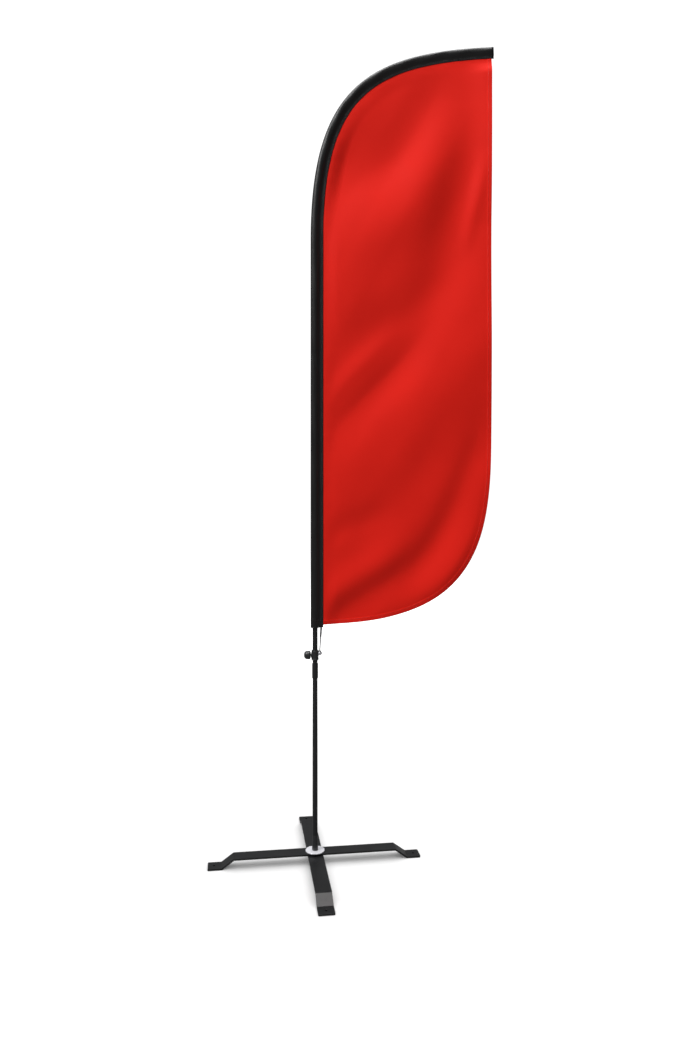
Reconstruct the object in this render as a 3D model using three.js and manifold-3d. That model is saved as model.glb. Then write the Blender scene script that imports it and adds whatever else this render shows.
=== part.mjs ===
import * as THREE from "three";
import { mergeVertices } from "three/addons/utils/BufferGeometryUtils.js";
import Module from "manifold-3d";

// Feather flag on a folding cross base. Millimetres, +Z up, the flag in the XZ plane.

// Base bars
const barLength = 625;
const barWidth = 45;
const barThickness = 5;
const barCornerRadius = 4;
const barBendRadius = 7;
const footLength = 40;
const crankRun = 35;
const lowerBarRise = 19;
const foldWasherThickness = 1;
const baseTurn = THREE.MathUtils.degToRad(8);
const pegHoleRadius = 3.5;
const pegHoleFromEnd = 18;

// Spindle and what clamps it to the bars
const spindleRadius = 5;
const spindleTop = 146;
const shankTail = 2;
const shoulderStep = 1.75;
const shoulderHeight = 3;
const discRadius = 28;
const discThickness = 3;
const foldWasherRadius = 18;
const lockWasherBand = 3.7;
const lockWasherThickness = 2;
const lockWasherSplit = 0.35;
const clipSlot = Math.PI / 5;
const nutAcrossFlats = 17;
const nutHeight = 8;
const clipThickness = 1.2;
const clipGrooveDepth = 0.6;
const clipBelowTop = 4;
const edgeChamfer = 0.6;

// Rotator that the pole stands on
const rotatorWall = 0.9;
const thrustWasherThickness = 1;
const rotatorFlangeHeight = 2;

// Pole sections
const tubeWall = 1.4;
const footRingWall = 1.2;
const footRingTop = 76;
const footRingTaper = 26;
const middleTubeTop = 1190;
const upperTubeWall = 1.3;
const spigotWall = 1.4;
const spigotReach = 60;
const upperTubeInsert = 80;
const ferruleWall = 1.4;
const ferruleLength = 43;
const sleevedFerruleWall = 0.8;
const upperFerruleWall = 1.1;
const sleevedFerruleLength = 32;
const tipRodInsert = 70;
const tipRodEndRadius = 2;
const tipCapRadius = 4.2;
const tipCapLength = 20;
const tipCapEnd = 2.5;
const tipCapPlay = 1;
const tipCapEdge = 1;

// Where the pole bends, and how far the tip reaches and rises
const bendStart = 1833;
const upperTubeBelowBend = 41;
const tipReach = 526;
const bendRise = 554;
const bendStartPull = 452;
const bendTipPull = 352;
const tipRise = 15;

// Flag: the pole pocket along the pole, and the banner sewn to it
const hemHeight = 688;
const pocketWall = 1.8;
const pocketEase = 0.6;
const pocketFrontEase = 3.1;
const seamFromPole = 24.2;
const seamAtTip = 21;
const seamHalfDepth = 1.6;
const seamAllowance = 9.7;
const pocketEndThickness = 2.6;
const bannerThickness = 1.5;
const flyEdgeFromTip = 5.4;
const bannerAboveHem = 6;
const bannerCornerRun = 713;
const bannerCornerRise = 664;
const bannerCornerPower = 3.65;
const seamCalm = 70;
const calmUnderBend = 1.2;
const calmAlongBend = 0.125;

// Tension collar on the lower pole, below the hem
const collarBelowHem = 67;
const collarLength = 28;
const collarWall = 3.4;
const collarEdge = 1.2;
const collarRim = 3;
const collarWaist = 0.6;
const lugFootInset = 2;
const ferruleBelowCollar = 10.5;
const knobAboveCollarFoot = 14;
const bossRadius = 8;
const bossReach = 1.3;
const knobRadius = 12.8;
const knobLength = 19.7;
const knobDome = 11;
const knobNeckRadius = 10.4;
const knobFlare = 2;
const studRadius = 3;
const studInKnob = 12;
const insertWall = 1.4;
const insertFromTube = 1;
const postFromCollar = 3.2;
const postBelowCollarTop = 8.5;
const postRadius = 2;
const postHeadRadius = 5;
const postHeadThickness = 2.2;
const postDomeRise = 1.1;
const lugThickness = 6;
const lugRadius = 6;
const postWasherRadius = 4.2;
const postWasherThickness = 0.8;

// Elastic cord from the pocket's hem to the collar's post
const cordRadius = 1.6;
const cordFromSeam = 6.2;
const cordSheathWall = 0.8;
const cordSheathLength = 27;
const hookRadius = 4.4;
const hookThickness = 2.4;
const hookAboveCollar = 2.4;
const hookNeckWidth = 4.2;

// Clearances
const runningGap = 0.1;
const boltGap = 0.3;
const restGap = 0.3;
const knobGap = 1;
const overcut = 1;

// Facets
const roundSides = 24;
const smallSides = 16;
const rodSides = 12;
const cordSides = 8;
const cordSteps = 8;
const barBendSteps = 4;
const barCornerSteps = 12;
const pocketSteps = 18;
const knobSteps = 8;
const bendSteps = 20;
const bannerRows = 24;
const flyColumns = 6;

// Levels that follow from the sizes above
const upperBarRise = lowerBarRise + barThickness + foldWasherThickness;
const discBottom = upperBarRise + barThickness;
const discTop = discBottom + discThickness;
const shoulderTop = discTop + shoulderHeight;
const thrustTop = shoulderTop + thrustWasherThickness;
const poleBottom = thrustTop + rotatorFlangeHeight;
const clipBottom = spindleTop - clipBelowTop - clipThickness;
const rotatorTop = clipBottom - restGap;
const collarTop = hemHeight - collarBelowHem;
const collarBottom = collarTop - collarLength;
const knobHeight = collarBottom + knobAboveCollarFoot;
const postHeight = collarTop - postBelowCollarTop;
const hookNeckTop = collarTop + hookAboveCollar;
const lowerTubeTop = collarBottom - ferruleBelowCollar - ferruleLength / 2;
const upperTubeTop = bendStart - upperTubeBelowBend;
const tipHeight = bendStart + bendRise;
const bannerBottom = hemHeight + bannerAboveHem;
const bannerFlyEdge = tipReach - flyEdgeFromTip;

// Radii that follow from the spindle outwards
const boltHoleRadius = spindleRadius + boltGap;
const shoulderRadius = spindleRadius + shoulderStep;
const lockWasherRadius = boltHoleRadius + lockWasherBand;
const rotatorRadius = spindleRadius + runningGap + rotatorWall;
const tubeBore = rotatorRadius + runningGap;
const tubeRadius = tubeBore + tubeWall;
const outerBore = tubeRadius + runningGap;
const rotatorFlangeRadius = tubeRadius - runningGap * 2;
const thrustWasherRadius = tubeRadius - restGap;
const footRingRadius = outerBore + footRingWall;
const ferruleRadius = outerBore + ferruleWall;
const sleevedFerruleRadius = outerBore + sleevedFerruleWall;
const spigotRadius = tubeBore - runningGap;
const upperTubeRadius = tubeBore - runningGap;
const upperTubeBore = upperTubeRadius - upperTubeWall;
const upperFerruleRadius = upperTubeRadius + runningGap + upperFerruleWall;
const tipRodRadius = upperTubeBore - runningGap;
const pocketHalfDepth = sleevedFerruleRadius + pocketEase + pocketWall;
const pocketFront = sleevedFerruleRadius + pocketFrontEase + pocketWall;
const collarRadius = outerBore + collarWall;
const bossEnd = collarRadius + bossReach;
const insertEnd = bossEnd - restGap;
const insertRadius = studRadius + runningGap + insertWall;
const knobStart = bossEnd + knobGap;
const knobEnd = knobStart + knobLength;
const postReach = collarRadius + postFromCollar;
const cordTopReach = seamFromPole - cordFromSeam;
const cordSheathRadius = cordRadius + restGap + cordSheathWall;

const wasm = await Module();
wasm.setup();

const steelCoated = new THREE.MeshStandardMaterial({ color: 0x26282a, roughness: 0.55, metalness: 0.3 });
const steelZinc = new THREE.MeshStandardMaterial({ color: 0xc8c8d0, roughness: 0.3, metalness: 0.9 });
const aluminiumBlack = new THREE.MeshStandardMaterial({ color: 0x2c2e30, roughness: 0.45, metalness: 0.5 });
const fibreglassBlack = new THREE.MeshStandardMaterial({ color: 0x1c1c1e, roughness: 0.4, metalness: 0 });
const plasticBlack = new THREE.MeshStandardMaterial({ color: 0x242527, roughness: 0.5, metalness: 0 });
const nylonGrey = new THREE.MeshStandardMaterial({ color: 0xb9bab8, roughness: 0.5, metalness: 0 });
const brass = new THREE.MeshStandardMaterial({ color: 0xb8924a, roughness: 0.35, metalness: 0.9 });
const fabricBlack = new THREE.MeshStandardMaterial({ color: 0x1a1a1b, roughness: 0.85, metalness: 0 });
const fabricRed = new THREE.MeshStandardMaterial({ color: 0xdb241a, roughness: 0.8, metalness: 0 });
const elasticBlack = new THREE.MeshStandardMaterial({ color: 0x1e1f20, roughness: 0.8, metalness: 0 });

function addPiece(parent, name, geometry, material) {
  const mesh = new THREE.Mesh(geometry, material);
  mesh.name = name;
  parent.add(mesh);
}

// Solids

function toSolid(geometry) {
  const bare = geometry.clone();
  bare.deleteAttribute("normal");
  bare.deleteAttribute("uv");
  const merged = mergeVertices(bare, 1e-4);
  const vertProperties = new Float32Array(merged.attributes.position.array);
  const triVerts = new Uint32Array(merged.index.array);
  return new wasm.Manifold(new wasm.Mesh({ numProp: 3, vertProperties, triVerts }));
}

function toGeometry(solid) {
  const mesh = solid.getMesh();
  const geometry = new THREE.BufferGeometry();
  geometry.setAttribute("position", new THREE.BufferAttribute(mesh.vertProperties, 3));
  geometry.setIndex(new THREE.BufferAttribute(mesh.triVerts, 1));
  geometry.computeVertexNormals();
  return geometry;
}

// A profile of [radius, height] pairs, turned about Z
function turned(profile, sides = roundSides) {
  const points = profile.map(([radius, height]) => new THREE.Vector2(radius, height));
  const geometry = new THREE.LatheGeometry(points, sides);
  geometry.rotateX(Math.PI / 2);
  return geometry;
}

// A closed ring whose outer edges may be chamfered
function ring(bore, radius, bottom, top, chamfer = 0) {
  const profile = [[bore, bottom], [radius - chamfer, bottom]];
  if (chamfer > 0) profile.push([radius, bottom + chamfer], [radius, top - chamfer]);
  else profile.push([radius, bottom]);
  profile.push([radius - chamfer, top], [bore, top], [bore, bottom]);
  return turned(profile);
}

function extruded(shape, bottom, top, curveSegments = smallSides) {
  const geometry = new THREE.ExtrudeGeometry(shape, {
    depth: top - bottom,
    bevelEnabled: false,
    curveSegments,
  });
  geometry.translate(0, 0, bottom);
  return geometry;
}

function circleHole(x, y, radius) {
  const hole = new THREE.Path();
  hole.absarc(x, y, radius, 0, Math.PI * 2, true);
  return hole;
}

// A cylinder along X between two places
function axleAlongX(radius, from, to, height) {
  const geometry = new THREE.CylinderGeometry(radius, radius, to - from, smallSides);
  geometry.rotateZ(-Math.PI / 2);
  geometry.translate((from + to) / 2, 0, height);
  return geometry;
}

// A cylinder along Y between two places
function pinAlongY(radius, from, to, x, z) {
  const geometry = new THREE.CylinderGeometry(radius, radius, to - from, smallSides);
  geometry.translate(x, (from + to) / 2, z);
  return geometry;
}

// Base bars: a flat strip cranked down to a foot at each end

// Side view of one bar, as a band of even thickness round its centre line
function crankedOutline(rise) {
  const half = barThickness / 2;
  const end = barLength / 2;
  const footEnd = end - footLength;
  const crankTop = footEnd - crankRun;
  const corners = [
    new THREE.Vector2(-end, half),
    new THREE.Vector2(-footEnd, half),
    new THREE.Vector2(-crankTop, rise + half),
    new THREE.Vector2(crankTop, rise + half),
    new THREE.Vector2(footEnd, half),
    new THREE.Vector2(end, half),
  ];
  const upper = [];
  const lower = [];
  corners.forEach((corner, i) => {
    const before = corners[Math.max(i - 1, 0)];
    const after = corners[Math.min(i + 1, corners.length - 1)];
    const way = i === 0 ? after.clone().sub(corner) : corner.clone().sub(before);
    const wayOut = i === corners.length - 1 ? way.clone() : after.clone().sub(corner);
    const turnFrom = way.angle();
    let turn = wayOut.angle() - turnFrom;
    if (turn > Math.PI) turn -= Math.PI * 2;
    if (turn < -Math.PI) turn += Math.PI * 2;
    const isBend = Math.abs(turn) > 0.01;
    const setback = barBendRadius * Math.tan(Math.abs(turn) / 2);
    const start = corner.clone().addScaledVector(way.normalize(), isBend ? -setback : 0);
    const toCentre = new THREE.Vector2(-way.y, way.x).multiplyScalar(Math.sign(turn) * barBendRadius);
    const centre = start.clone().add(toCentre);
    const steps = isBend ? barBendSteps : 0;
    for (let step = 0; step <= steps; step += 1) {
      const part = steps === 0 ? 0 : step / steps;
      const point = isBend ? start.clone().rotateAround(centre, turn * part) : corner.clone();
      const heading = turnFrom + turn * part;
      const side = new THREE.Vector2(-Math.sin(heading), Math.cos(heading)).multiplyScalar(half);
      upper.push(point.clone().add(side));
      lower.push(point.clone().sub(side));
    }
  });
  return new THREE.Shape([...lower, ...upper.reverse()]);
}

// Top view of one bar: rounded corners, the spindle hole and a peg hole in each foot
function barPlan() {
  const end = barLength / 2;
  const side = barWidth / 2;
  const r = barCornerRadius;
  const plan = new THREE.Shape();
  plan.moveTo(-end + r, -side);
  plan.lineTo(end - r, -side);
  plan.absarc(end - r, -side + r, r, -Math.PI / 2, 0);
  plan.lineTo(end, side - r);
  plan.absarc(end - r, side - r, r, 0, Math.PI / 2);
  plan.lineTo(-end + r, side);
  plan.absarc(-end + r, side - r, r, Math.PI / 2, Math.PI);
  plan.lineTo(-end, -side + r);
  plan.absarc(-end + r, -side + r, r, Math.PI, Math.PI * 1.5);
  plan.holes.push(circleHole(0, 0, boltHoleRadius));
  for (const way of [-1, 1]) plan.holes.push(circleHole(way * (end - pegHoleFromEnd), 0, pegHoleRadius));
  return plan;
}

function crankedBar(rise) {
  const strip = extruded(crankedOutline(rise), -barWidth, barWidth);
  strip.rotateX(Math.PI / 2);
  const plan = extruded(barPlan(), -barThickness, rise + barThickness * 2, barCornerSteps);
  return toGeometry(toSolid(strip).intersect(toSolid(plan)));
}

// Spindle, its shoulder and the groove for the clip
function spindle() {
  const bottom = lowerBarRise - lockWasherThickness - nutHeight - shankTail;
  const grooveRadius = spindleRadius - clipGrooveDepth;
  return turned([
    [0, bottom],
    [spindleRadius - edgeChamfer, bottom],
    [spindleRadius, bottom + edgeChamfer],
    [spindleRadius, discTop],
    [shoulderRadius, discTop],
    [shoulderRadius, shoulderTop],
    [spindleRadius, shoulderTop],
    [spindleRadius, clipBottom - restGap / 2],
    [grooveRadius, clipBottom - restGap / 2],
    [grooveRadius, clipBottom + clipThickness + restGap / 2],
    [spindleRadius, clipBottom + clipThickness + restGap / 2],
    [spindleRadius, spindleTop - edgeChamfer],
    [spindleRadius - edgeChamfer, spindleTop],
    [0, spindleTop],
  ]);
}

// A flat ring with a slot in it, open towards +X
function splitRing(bore, radius, slotAngle, bottom, top) {
  const shape = new THREE.Shape();
  shape.absarc(0, 0, radius, slotAngle, Math.PI * 2 - slotAngle);
  shape.absarc(0, 0, bore, Math.PI * 2 - slotAngle, slotAngle, true);
  return extruded(shape, bottom, top);
}

function hexNut(acrossFlats, bore, bottom, top) {
  const shape = new THREE.Shape();
  const corner = acrossFlats / Math.sqrt(3);
  for (let i = 0; i < 6; i += 1) {
    const angle = (i * Math.PI) / 3;
    const method = i === 0 ? "moveTo" : "lineTo";
    shape[method](corner * Math.cos(angle), corner * Math.sin(angle));
  }
  shape.holes.push(circleHole(0, 0, bore));
  return extruded(shape, bottom, top);
}

// Rotator: a flanged nylon sleeve that turns on the spindle
function rotatorSleeve() {
  const bore = spindleRadius + runningGap;
  return turned([
    [bore, thrustTop],
    [rotatorFlangeRadius, thrustTop],
    [rotatorFlangeRadius, poleBottom],
    [rotatorRadius, poleBottom],
    [rotatorRadius, rotatorTop],
    [bore, rotatorTop],
    [bore, thrustTop],
  ]);
}

// Flared ring round the foot of the pole
function footRing() {
  const bore = outerBore;
  const bottom = discTop + restGap;
  return turned([
    [bore, bottom],
    [footRingRadius, bottom],
    [footRingRadius, footRingTop - footRingTaper],
    [bore + edgeChamfer, footRingTop],
    [bore, footRingTop],
    [bore, bottom],
  ]);
}

// The pole's line: upright to bendStart, then one smooth curve over to the tip

const bend = new THREE.CubicBezierCurve3(
  new THREE.Vector3(0, 0, bendStart),
  new THREE.Vector3(0, 0, bendStart + bendStartPull),
  new THREE.Vector3(tipReach - bendTipPull, 0, tipHeight - tipRise),
  new THREE.Vector3(tipReach, 0, tipHeight),
);
bend.arcLengthDivisions = 800;
const bendLength = bend.getLength();
const pathEnd = bendStart + bendLength;

// Place and heading at a distance along the pole from the floor
function polePoint(distance) {
  if (distance <= bendStart) {
    return { place: new THREE.Vector3(0, 0, distance), along: new THREE.Vector3(0, 0, 1) };
  }
  const part = Math.min((distance - bendStart) / bendLength, 1);
  return { place: bend.getPointAt(part), along: bend.getTangentAt(part) };
}

// A point beside the pole's line: across is towards the banner, depth along Y
function besidePole(distance, across, depth) {
  const { place, along } = polePoint(distance);
  return new THREE.Vector3(place.x + along.z * across, depth, place.z - along.x * across);
}

// Moves a shape made upright about Z onto the pole's line
function followPole(geometry) {
  const position = geometry.attributes.position;
  for (let i = 0; i < position.count; i += 1) {
    const point = besidePole(position.getZ(i), position.getX(i), position.getY(i));
    position.setXYZ(i, point.x, point.y, point.z);
  }
  geometry.computeVertexNormals();
  return geometry;
}

function seamOffset(distance) {
  const part = THREE.MathUtils.clamp((distance - bendStart) / bendLength, 0, 1);
  return THREE.MathUtils.lerp(seamFromPole, seamAtTip, part);
}

const tipRodEnd = pathEnd - pocketEndThickness - restGap - tipCapEnd - tipCapPlay;

function tipRod() {
  const start = upperTubeTop - tipRodInsert;
  const profile = [[0, start], [tipRodRadius, start], [tipRodRadius, bendStart]];
  for (let step = 1; step <= bendSteps; step += 1) {
    const part = step / bendSteps;
    const radius = THREE.MathUtils.lerp(tipRodRadius, tipRodEndRadius, part);
    profile.push([radius, THREE.MathUtils.lerp(bendStart, tipRodEnd, part)]);
  }
  profile.push([0, tipRodEnd]);
  return followPole(turned(profile, rodSides));
}

function tipCap() {
  const bottom = tipRodEnd - tipCapLength;
  const seat = tipRodEnd + runningGap;
  const top = tipRodEnd + tipCapEnd;
  const bore = tipRodEndRadius + restGap;
  return followPole(turned([
    [0, seat],
    [bore, seat],
    [bore, bottom],
    [tipCapRadius, bottom],
    [tipCapRadius, top - tipCapEdge],
    [tipCapRadius - tipCapEdge, top],
    [0, top],
  ], rodSides));
}

// Pole pocket: a sewn tube, round over the pole and closing to the seam

function pocketOutline(target, seam, wall, narrow) {
  const points = [];
  const halfLength = pocketFront - wall;
  const halfDepth = pocketHalfDepth - wall;
  for (let step = 0; step <= pocketSteps; step += 1) {
    const angle = Math.PI / 3 + ((Math.PI * 4) / 3) * (step / pocketSteps);
    points.push(new THREE.Vector2(halfLength * Math.cos(angle), halfDepth * Math.sin(angle)));
  }
  points.push(new THREE.Vector2(seam, -narrow), new THREE.Vector2(seam, narrow));
  target.setFromPoints(points);
  return target;
}

// The seam edge draws in evenly from the bend's start to the tip
function drawInSeam(geometry) {
  const position = geometry.attributes.position;
  for (let i = 0; i < position.count; i += 1) {
    const x = position.getX(i);
    if (x > 0) position.setX(i, (x * seamOffset(position.getZ(i))) / seamFromPole);
  }
}

const pocketTop = pathEnd - pocketEndThickness - restGap;

// Distances of the pocket's rings along the pole: the hem, then even steps round the bend
function ringDistance(index) {
  return index === 0 ? hemHeight : THREE.MathUtils.lerp(bendStart, pocketTop, (index - 1) / bendSteps);
}

function polePocket() {
  const shape = pocketOutline(new THREE.Shape(), seamFromPole, 0, seamHalfDepth);
  const hollow = pocketOutline(new THREE.Path(), seamFromPole - seamAllowance, pocketWall, seamHalfDepth);
  shape.holes.push(hollow);
  const rings = bendSteps + 1;
  const geometry = new THREE.ExtrudeGeometry(shape, { depth: rings, steps: rings, bevelEnabled: false });
  const position = geometry.attributes.position;
  for (let i = 0; i < position.count; i += 1) position.setZ(i, ringDistance(Math.round(position.getZ(i))));
  drawInSeam(geometry);
  return followPole(geometry);
}

function pocketEnd() {
  const shape = pocketOutline(new THREE.Shape(), seamFromPole, 0, seamHalfDepth);
  const geometry = extruded(shape, pathEnd - pocketEndThickness, pathEnd);
  drawInSeam(geometry);
  return followPole(geometry);
}

// Banner: upright along the fly edge, with one large rounded corner at the bottom

const bannerCornerX = bannerFlyEdge - bannerCornerRun;
const bannerCornerZ = bannerBottom + bannerCornerRise;

function bannerLowerEdge(x) {
  const part = THREE.MathUtils.clamp((x - bannerCornerX) / bannerCornerRun, 0, 1);
  const drop = Math.pow(1 - Math.pow(part, bannerCornerPower), 1 / bannerCornerPower);
  return bannerCornerZ - bannerCornerRise * drop;
}

// Soft ridges that rise towards the fly edge, each from one [x, z] to another
const folds = [
  { from: [30, 1540], to: [440, 2230], height: 11, halfWidth: 62 },
  { from: [40, 1310], to: [270, 1610], height: 4, halfWidth: 34 },
  { from: [50, 1150], to: [510, 1690], height: 12, halfWidth: 75 },
  { from: [40, 800], to: [420, 1170], height: 9, halfWidth: 48 },
  { from: [240, 770], to: [500, 1090], height: 7, halfWidth: 40 },
  { from: [455, 1900], to: [515, 2190], height: 6, halfWidth: 30 },
];

function foldDepth(x, z) {
  let depth = 0;
  for (const fold of folds) {
    const line = new THREE.Line3(
      new THREE.Vector3(fold.from[0], 0, fold.from[1]),
      new THREE.Vector3(fold.to[0], 0, fold.to[1]),
    );
    const point = new THREE.Vector3(x, 0, z);
    const nearest = line.closestPointToPoint(point, true, new THREE.Vector3());
    depth -= fold.height * Math.exp(-((point.distanceTo(nearest) / fold.halfWidth) ** 2));
  }
  return depth;
}

// A sheet of even thickness: place(column, row) gives a point of its middle surface.
// Both sides are split along the same diagonals, so that the wall stays even.
function sheet(columns, rows, thickness, place) {
  const points = [];
  const triangles = [];
  const layer = (columns + 1) * (rows + 1);
  const at = (column, row, side) => side * layer + column * (rows + 1) + row;
  for (const side of [-0.5, 0.5]) {
    for (let column = 0; column <= columns; column += 1) {
      for (let row = 0; row <= rows; row += 1) {
        const middle = place(column, row);
        points.push(middle.x, middle.y + side * thickness, middle.z);
      }
    }
  }
  for (let column = 0; column < columns; column += 1) {
    for (let row = 0; row < rows; row += 1) {
      const corners = [[column, row], [column + 1, row], [column + 1, row + 1], [column, row + 1]];
      const [a, b, c, d] = corners.map((corner) => at(...corner, 0));
      triangles.push(a, b, c, a, c, d);
      const [e, f, g, h] = corners.map((corner) => at(...corner, 1));
      triangles.push(e, g, f, e, h, g);
    }
  }
  const rim = [];
  for (let column = 0; column < columns; column += 1) rim.push([column, 0]);
  for (let row = 0; row < rows; row += 1) rim.push([columns, row]);
  for (let column = columns; column > 0; column -= 1) rim.push([column, rows]);
  for (let row = rows; row > 0; row -= 1) rim.push([0, row]);
  rim.forEach((here, i) => {
    const next = rim[(i + 1) % rim.length];
    const [a, b] = [at(...here, 0), at(...here, 1)];
    const [c, d] = [at(...next, 1), at(...next, 0)];
    triangles.push(a, b, c, a, c, d);
  });
  const geometry = new THREE.BufferGeometry();
  geometry.setAttribute("position", new THREE.Float32BufferAttribute(points, 3));
  geometry.setIndex(triangles);
  geometry.computeVertexNormals();
  return geometry;
}

function banner() {
  const evenColumns = bendSteps - 1;
  const flyDistance = distanceAtReach(bannerFlyEdge);
  return sheet(evenColumns + flyColumns, bannerRows, bannerThickness, (column, row) => {
    const flyPart = Math.max(column - evenColumns, 0) / flyColumns;
    const evenDistance = ringDistance(Math.min(column, evenColumns) + 1);
    const distance = THREE.MathUtils.lerp(evenDistance, flyDistance, 1 - (1 - flyPart) ** 2);
    const top = besidePole(distance, seamOffset(distance) + restGap, 0);
    const z = THREE.MathUtils.lerp(bannerLowerEdge(top.x), top.z, row / bannerRows);
    const underBend = (top.z - z) * calmUnderBend + top.x * calmAlongBend;
    const fromSeam = Math.min(top.x - seamFromPole, underBend);
    const freedom = THREE.MathUtils.smoothstep(fromSeam, 0, seamCalm);
    return new THREE.Vector3(top.x, foldDepth(top.x, z) * freedom, z);
  });
}

// Distance along the pole at which the banner's edge reaches a given x
function distanceAtReach(reach) {
  let low = bendStart;
  let high = pathEnd;
  for (let i = 0; i < 40; i += 1) {
    const middle = (low + high) / 2;
    if (besidePole(middle, seamOffset(middle) + restGap, 0).x < reach) low = middle;
    else high = middle;
  }
  return low;
}

// Tension collar: a hub on the pole, a boss for the knob's stud and a lug for the cord post

function collarLug() {
  const shape = new THREE.Shape();
  const inside = tubeRadius + overcut;
  shape.moveTo(inside, collarBottom + lugFootInset);
  shape.absarc(postReach, postHeight, lugRadius, -Math.PI / 5, Math.PI / 2);
  shape.lineTo(inside, collarTop - collarEdge);
  const geometry = extruded(shape, -lugThickness / 2, lugThickness / 2);
  geometry.rotateX(Math.PI / 2);
  return geometry;
}

function tensionCollar() {
  const hub = toSolid(turned([
    [0, collarBottom],
    [collarRadius - collarEdge, collarBottom],
    [collarRadius, collarBottom + collarEdge],
    [collarRadius, collarBottom + collarRim],
    [collarRadius - collarWaist, collarBottom + collarRim + collarWaist],
    [collarRadius - collarWaist, collarTop - collarRim - collarWaist],
    [collarRadius, collarTop - collarRim],
    [collarRadius, collarTop - collarEdge],
    [collarRadius - collarEdge, collarTop],
    [0, collarTop],
  ]));
  const boss = toSolid(axleAlongX(bossRadius, -bossEnd, 0, knobHeight));
  const lug = toSolid(collarLug());
  const bore = toSolid(turned([
    [0, collarBottom - overcut],
    [outerBore, collarBottom - overcut],
    [outerBore, collarTop + overcut],
    [0, collarTop + overcut],
  ]));
  const insertHole = toSolid(axleAlongX(insertRadius + runningGap, -bossEnd - overcut, 0, knobHeight));
  const postHole = toSolid(pinAlongY(postRadius + runningGap, -lugThickness, lugThickness, postReach, postHeight));
  return toGeometry(hub.add(boss).add(lug).subtract(bore).subtract(insertHole).subtract(postHole));
}

function turnedAlongX(profile, height) {
  const geometry = turned(profile);
  geometry.rotateY(-Math.PI / 2);
  geometry.translate(0, 0, height);
  return geometry;
}

function threadInsert() {
  const bore = studRadius + runningGap;
  const start = tubeRadius + insertFromTube;
  return turnedAlongX([
    [bore, start],
    [insertRadius, start],
    [insertRadius, insertEnd],
    [bore, insertEnd],
    [bore, start],
  ], knobHeight);
}

function clampStud() {
  const tip = tubeRadius + restGap;
  const end = knobStart + studInKnob;
  return turnedAlongX([
    [0, tip],
    [studRadius - edgeChamfer, tip],
    [studRadius, tip + edgeChamfer],
    [studRadius, end],
    [0, end],
  ], knobHeight);
}

function clampKnob() {
  const bore = studRadius + runningGap;
  const seat = knobStart + studInKnob + runningGap;
  const domeStart = knobEnd - knobDome;
  const profile = [
    [0, seat],
    [bore, seat],
    [bore, knobStart],
    [knobNeckRadius, knobStart],
    [knobRadius, knobStart + knobFlare],
  ];
  for (let step = 0; step < knobSteps; step += 1) {
    const angle = ((Math.PI / 2) * step) / knobSteps;
    profile.push([knobRadius * Math.cos(angle), domeStart + knobDome * Math.sin(angle)]);
  }
  profile.push([0, knobEnd]);
  return turnedAlongX(profile, knobHeight);
}

// The post goes through the lug, with the hook held under its domed head
const lugFace = lugThickness / 2;
const hookFace = lugFace + restGap;
const headFace = hookFace + hookThickness + restGap;
const washerFace = lugFace + restGap / 2;

function cordPost() {
  const headTop = headFace + postHeadThickness;
  const profile = [
    [0, -washerFace - postWasherThickness - restGap],
    [postRadius, -washerFace - postWasherThickness - restGap],
    [postRadius, headFace],
    [postHeadRadius, headFace],
    [postHeadRadius, headTop - postDomeRise],
    [postHeadRadius * Math.cos(Math.PI / 4), headTop - postDomeRise * (1 - Math.sin(Math.PI / 4))],
    [0, headTop],
  ];
  const geometry = turned(profile, smallSides);
  geometry.rotateX(Math.PI / 2);
  geometry.translate(postReach, 0, postHeight);
  return geometry;
}

function postWasher() {
  const geometry = ring(postRadius + runningGap, postWasherRadius, washerFace, washerFace + postWasherThickness);
  geometry.rotateX(-Math.PI / 2);
  geometry.translate(postReach, 0, postHeight);
  return geometry;
}

// Hook: an eye round the post, with a neck up to the cord
function cordHook() {
  const shape = new THREE.Shape();
  const half = hookNeckWidth / 2;
  const start = Math.acos(half / hookRadius);
  shape.moveTo(half, hookNeckTop - postHeight);
  shape.lineTo(-half, hookNeckTop - postHeight);
  shape.absarc(0, 0, hookRadius, Math.PI - start, Math.PI * 2 + start);
  shape.holes.push(circleHole(0, 0, postRadius + restGap));
  const geometry = extruded(shape, hookFace, hookFace + hookThickness);
  geometry.rotateX(Math.PI / 2);
  geometry.translate(postReach, 0, postHeight);
  return geometry;
}

// Elastic cord, straight and taut from the hem down to the hook's neck
const cordTop = new THREE.Vector3(cordTopReach, 0, hemHeight - restGap);
const cordBottom = new THREE.Vector3(postReach, -hookFace - hookThickness / 2, hookNeckTop + restGap);

function cordPoint(height) {
  const part = (cordTop.z - height) / (cordTop.z - cordBottom.z);
  return cordTop.clone().lerp(cordBottom, part);
}

// A round shape whose level ends shift sideways, so that it follows the cord
function followCord(geometry) {
  const position = geometry.attributes.position;
  for (let i = 0; i < position.count; i += 1) {
    const middle = cordPoint(position.getZ(i));
    position.setX(i, position.getX(i) + middle.x);
    position.setY(i, position.getY(i) + middle.y);
  }
  geometry.computeVertexNormals();
  return geometry;
}

function tensionCord() {
  const profile = [[0, cordBottom.z]];
  for (let step = 0; step <= cordSteps; step += 1) {
    profile.push([cordRadius, THREE.MathUtils.lerp(cordBottom.z, cordTop.z, step / cordSteps)]);
  }
  profile.push([0, cordTop.z]);
  return followCord(turned(profile, cordSides));
}

function cordSheath() {
  const bore = cordRadius + restGap;
  const bottom = cordTop.z - cordSheathLength;
  return followCord(turned([
    [bore, bottom],
    [cordSheathRadius, bottom],
    [cordSheathRadius, cordTop.z],
    [bore, cordTop.z],
    [bore, bottom],
  ], rodSides));
}

// Assembly

const flag = new THREE.Group();

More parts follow.
